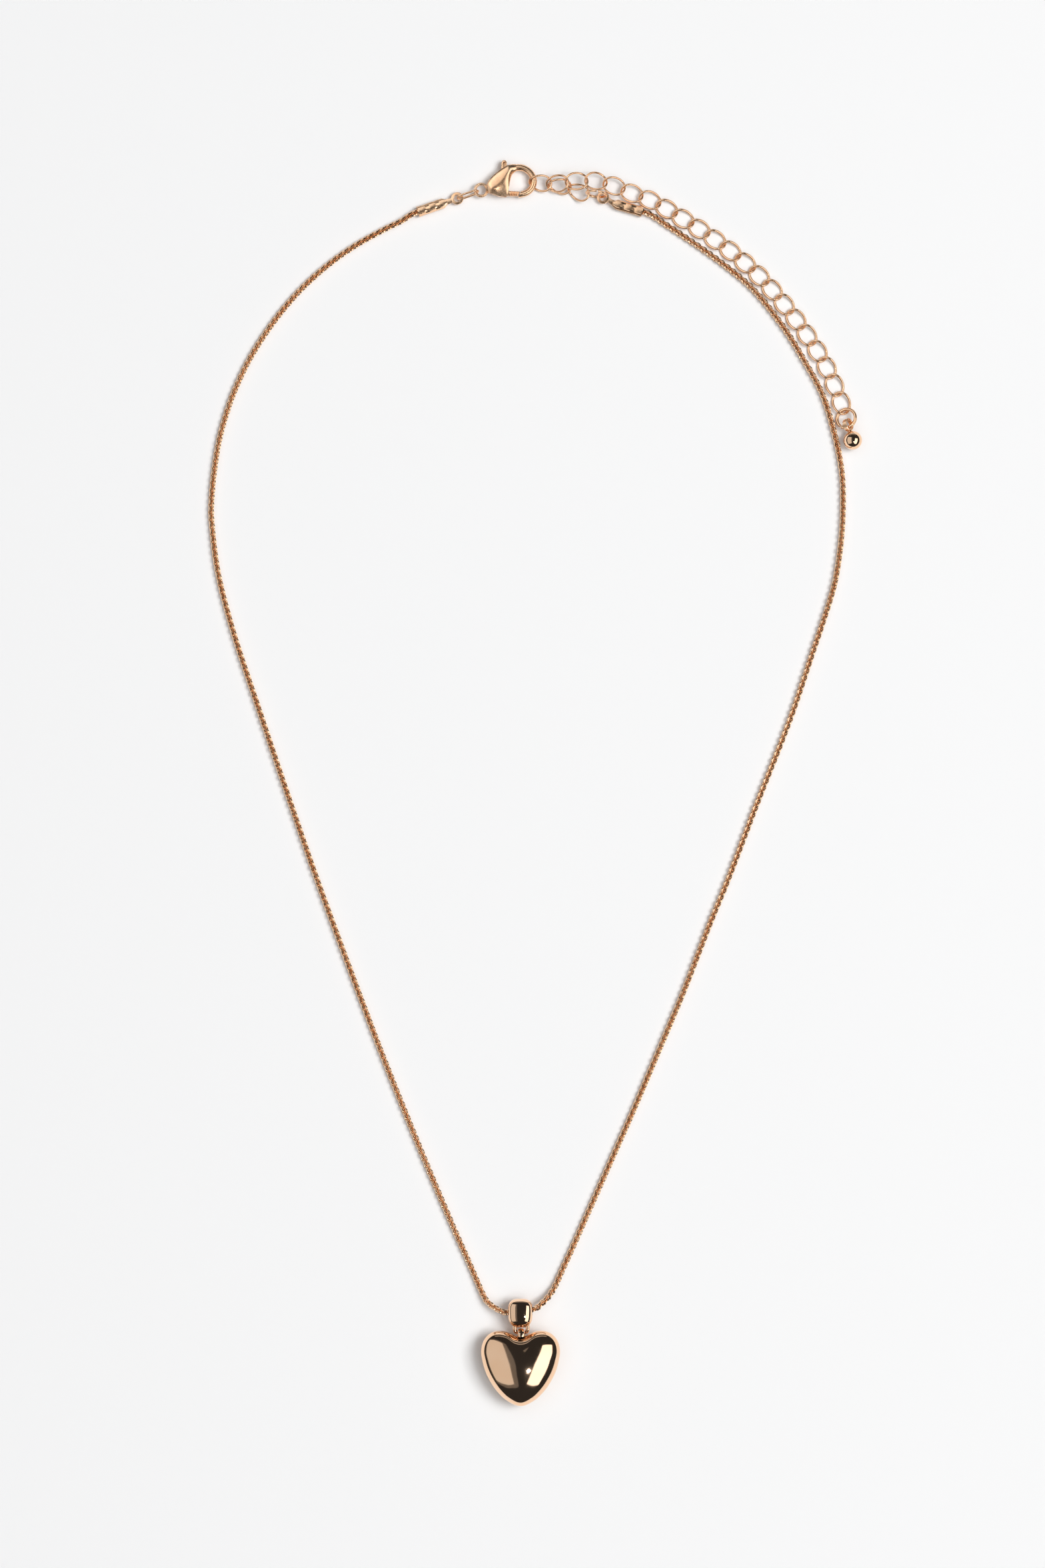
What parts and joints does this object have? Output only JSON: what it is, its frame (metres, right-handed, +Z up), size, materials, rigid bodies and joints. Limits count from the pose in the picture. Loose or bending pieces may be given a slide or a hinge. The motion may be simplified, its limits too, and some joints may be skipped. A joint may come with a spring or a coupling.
{
  "type": "pendant necklace",
  "caption": "Fine chain necklace with a puffed heart pendant on a bead bail, a lobster clasp and a link extender with a ball drop.",
  "frame": {"origin": "on the table, under the middle of the box round everything but the fine chain", "axes": "+Z up from the table; +Y from the pendant towards the clasp; +X to the right, from the clasp towards the extender"},
  "size_m": [0.0981, 0.1865, 0.0056],
  "materials": {
    "chain_gold": "polished rose gold plating",
    "heart_gold": "mirror polished rose gold plating",
    "bail_gold": "mirror polished rose gold plating",
    "cord_end_gold": "tumbled rose gold plating",
    "clasp_gold": "satin to polished rose gold plating",
    "link_gold": "polished rose gold plating",
    "spring_steel": "bare spring wire"
  },
  "bodies": {
    "necklace": {"chain_left": "chain_gold", "chain_right": "chain_gold", "cord_end_left": "cord_end_gold", "cord_end_right": "cord_end_gold"},
    "bail": {"bail": "bail_gold"},
    "pendant_ring": {"pendant_ring": "bail_gold"},
    "heart": {"heart": "heart_gold"},
    "clasp_link": {"clasp_link": "link_gold"},
    "clasp": {"clasp_body": "clasp_gold", "clasp_rivet": "clasp_gold", "clasp_spring": "spring_steel"},
    "clasp_lever": {"clasp_lever": "clasp_gold"},
    "jump_ring": {"extender_jump_ring": "link_gold"},
    "link_01": {"extender_link_01": "link_gold"},
    "link_02": {"extender_link_02": "link_gold"},
    "link_03": {"extender_link_03": "link_gold"},
    "link_04": {"extender_link_04": "link_gold"},
    "link_05": {"extender_link_05": "link_gold"},
    "link_06": {"extender_link_06": "link_gold"},
    "link_07": {"extender_link_07": "link_gold"},
    "link_08": {"extender_link_08": "link_gold"},
    "link_09": {"extender_link_09": "link_gold"},
    "link_10": {"extender_link_10": "link_gold"},
    "link_11": {"extender_link_11": "link_gold"},
    "link_12": {"extender_link_12": "link_gold"},
    "link_13": {"extender_link_13": "link_gold"},
    "link_14": {"extender_link_14": "link_gold"},
    "link_15": {"extender_link_15": "link_gold"},
    "link_16": {"extender_link_16": "link_gold"},
    "link_17": {"extender_link_17": "link_gold"},
    "link_18": {"extender_link_18": "link_gold"},
    "link_19": {"extender_link_19": "link_gold"},
    "link_20": {"extender_link_20": "link_gold"},
    "link_21": {"extender_link_21": "link_gold"},
    "link_22": {"extender_link_22": "link_gold"},
    "link_23": {"extender_link_23": "link_gold"},
    "link_24": {"extender_link_24": "link_gold"},
    "end_ring": {"end_ring": "link_gold"},
    "drop": {"drop_loop": "link_gold", "drop_ball": "heart_gold"}
  },
  "joints": [
    {"name": "bail_turn", "type": "hinge", "parent": "necklace", "child": "bail", "pos_m": [-0.01793, -0.07907, 0.0023], "axis": [-0.993, -0.1184, 0], "range_deg": [0, 50]},
    {"name": "pendant_ring_swing", "type": "hinge", "parent": "bail", "child": "pendant_ring", "pos_m": [-0.0178, -0.08232, 0.0023], "axis": [-1, 0, 0], "range_deg": [0, 25]},
    {"name": "heart_swing", "type": "hinge", "parent": "pendant_ring", "child": "heart", "pos_m": [-0.0178, -0.08294, 0.0026], "axis": [-1, 0, 0], "range_deg": [0, 25]},
    {"name": "clasp_link_turn", "type": "hinge", "parent": "necklace", "child": "clasp_link", "pos_m": [-0.027, 0.08772, 0.0007], "axis": [0, 0, 1], "range_deg": [-0.5, 0.5]},
    {"name": "clasp_turn", "type": "hinge", "parent": "clasp_link", "child": "clasp", "pos_m": [-0.0244, 0.08861, 0.001], "axis": [0, 0, 1], "range_deg": [-0.5, 0.5]},
    {"name": "clasp_lever_open", "type": "hinge", "parent": "clasp", "child": "clasp_lever", "pos_m": [-0.02089, 0.08986, 0.001], "axis": [0, 0, 1], "range_deg": [0, 22], "stiffness_Nm_per_rad": 0.0004},
    {"name": "jump_ring_turn", "type": "hinge", "parent": "necklace", "child": "jump_ring", "pos_m": [-0.00551, 0.08772, 0.0007], "axis": [0, 0, 1], "range_deg": [0, 0.5]},
    {"name": "link_01_turn", "type": "hinge", "parent": "jump_ring", "child": "link_01", "pos_m": [-0.00791, 0.08833, 0.00136], "axis": [0, 0, 1], "range_deg": [0, 0.5]},
    {"name": "link_02_turn", "type": "hinge", "parent": "link_01", "child": "link_02", "pos_m": [-0.01062, 0.08896, 0.00109], "axis": [0, 0, 1], "range_deg": [0, 0.5]},
    {"name": "link_03_turn", "type": "hinge", "parent": "link_02", "child": "link_03", "pos_m": [-0.01348, 0.08964, 0.00106], "axis": [0, 0, 1], "range_deg": [0, 0.5]},
    {"name": "link_04_turn", "type": "hinge", "parent": "link_03", "child": "link_04", "pos_m": [-0.01365, 0.08979, 0.00127], "axis": [0, 0, 1], "range_deg": [0, 1]},
    {"name": "link_05_turn", "type": "hinge", "parent": "link_04", "child": "link_05", "pos_m": [-0.01094, 0.08989, 0.00166], "axis": [0, 0, 1], "range_deg": [0, 1]},
    {"name": "link_06_turn", "type": "hinge", "parent": "link_05", "child": "link_06", "pos_m": [-0.00805, 0.09009, 0.00168], "axis": [0, 0, 1], "range_deg": [0, 1]},
    {"name": "link_07_turn", "type": "hinge", "parent": "link_06", "child": "link_07", "pos_m": [-0.00522, 0.08977, 0.00134], "axis": [0, 0, 1], "range_deg": [0, 8]},
    {"name": "link_08_turn", "type": "hinge", "parent": "link_07", "child": "link_08", "pos_m": [-0.00252, 0.08889, 0.00102], "axis": [0, 0, 1], "range_deg": [0, 8]},
    {"name": "link_09_turn", "type": "hinge", "parent": "link_08", "child": "link_09", "pos_m": [0.00017, 0.08786, 0.00074], "axis": [0, 0, 1], "range_deg": [0, 8]},
    {"name": "link_10_turn", "type": "hinge", "parent": "link_09", "child": "link_10", "pos_m": [0.0028, 0.08669, 0.00055], "axis": [0, 0, 1], "range_deg": [0, 8]},
    {"name": "link_11_turn", "type": "hinge", "parent": "link_10", "child": "link_11", "pos_m": [0.00528, 0.08528, 0.00048], "axis": [0, 0, 1], "range_deg": [0, 8]},
    {"name": "link_12_turn", "type": "hinge", "parent": "link_11", "child": "link_12", "pos_m": [0.00772, 0.08378, 0.00047], "axis": [0, 0, 1], "range_deg": [0, 8]},
    {"name": "link_13_turn", "type": "hinge", "parent": "link_12", "child": "link_13", "pos_m": [0.01012, 0.08223, 0.00047], "axis": [0, 0, 1], "range_deg": [0, 8]},
    {"name": "link_14_turn", "type": "hinge", "parent": "link_13", "child": "link_14", "pos_m": [0.01246, 0.08058, 0.00047], "axis": [0, 0, 1], "range_deg": [0, 8]},
    {"name": "link_15_turn", "type": "hinge", "parent": "link_14", "child": "link_15", "pos_m": [0.01472, 0.07883, 0.00047], "axis": [0, 0, 1], "range_deg": [0, 8]},
    {"name": "link_16_turn", "type": "hinge", "parent": "link_15", "child": "link_16", "pos_m": [0.01688, 0.07696, 0.00047], "axis": [0, 0, 1], "range_deg": [0, 8]},
    {"name": "link_17_turn", "type": "hinge", "parent": "link_16", "child": "link_17", "pos_m": [0.0189, 0.07494, 0.00047], "axis": [0, 0, 1], "range_deg": [0, 8]},
    {"name": "link_18_turn", "type": "hinge", "parent": "link_17", "child": "link_18", "pos_m": [0.02079, 0.07279, 0.00047], "axis": [0, 0, 1], "range_deg": [0, 8]},
    {"name": "link_19_turn", "type": "hinge", "parent": "link_18", "child": "link_19", "pos_m": [0.02258, 0.07056, 0.00047], "axis": [0, 0, 1], "range_deg": [0, 8]},
    {"name": "link_20_turn", "type": "hinge", "parent": "link_19", "child": "link_20", "pos_m": [0.02428, 0.06827, 0.00047], "axis": [0, 0, 1], "range_deg": [0, 8]},
    {"name": "link_21_turn", "type": "hinge", "parent": "link_20", "child": "link_21", "pos_m": [0.02589, 0.0659, 0.00047], "axis": [0, 0, 1], "range_deg": [0, 8]},
    {"name": "link_22_turn", "type": "hinge", "parent": "link_21", "child": "link_22", "pos_m": [0.02737, 0.06346, 0.00047], "axis": [0, 0, 1], "range_deg": [0, 8]},
    {"name": "link_23_turn", "type": "hinge", "parent": "link_22", "child": "link_23", "pos_m": [0.02864, 0.0609, 0.00048], "axis": [0, 0, 1], "range_deg": [0, 8]},
    {"name": "link_24_turn", "type": "hinge", "parent": "link_23", "child": "link_24", "pos_m": [0.02972, 0.05826, 0.00049], "axis": [0, 0, 1], "range_deg": [0, 8]},
    {"name": "end_ring_turn", "type": "hinge", "parent": "link_24", "child": "end_ring", "pos_m": [0.03057, 0.05575, 0.00072], "axis": [0, 0, 1], "range_deg": [0, 6]},
    {"name": "drop_turn", "type": "hinge", "parent": "end_ring", "child": "drop", "pos_m": [0.03104, 0.05409, 0.00118], "axis": [0, 0, 1], "range_deg": [0, 6]}
  ]
}
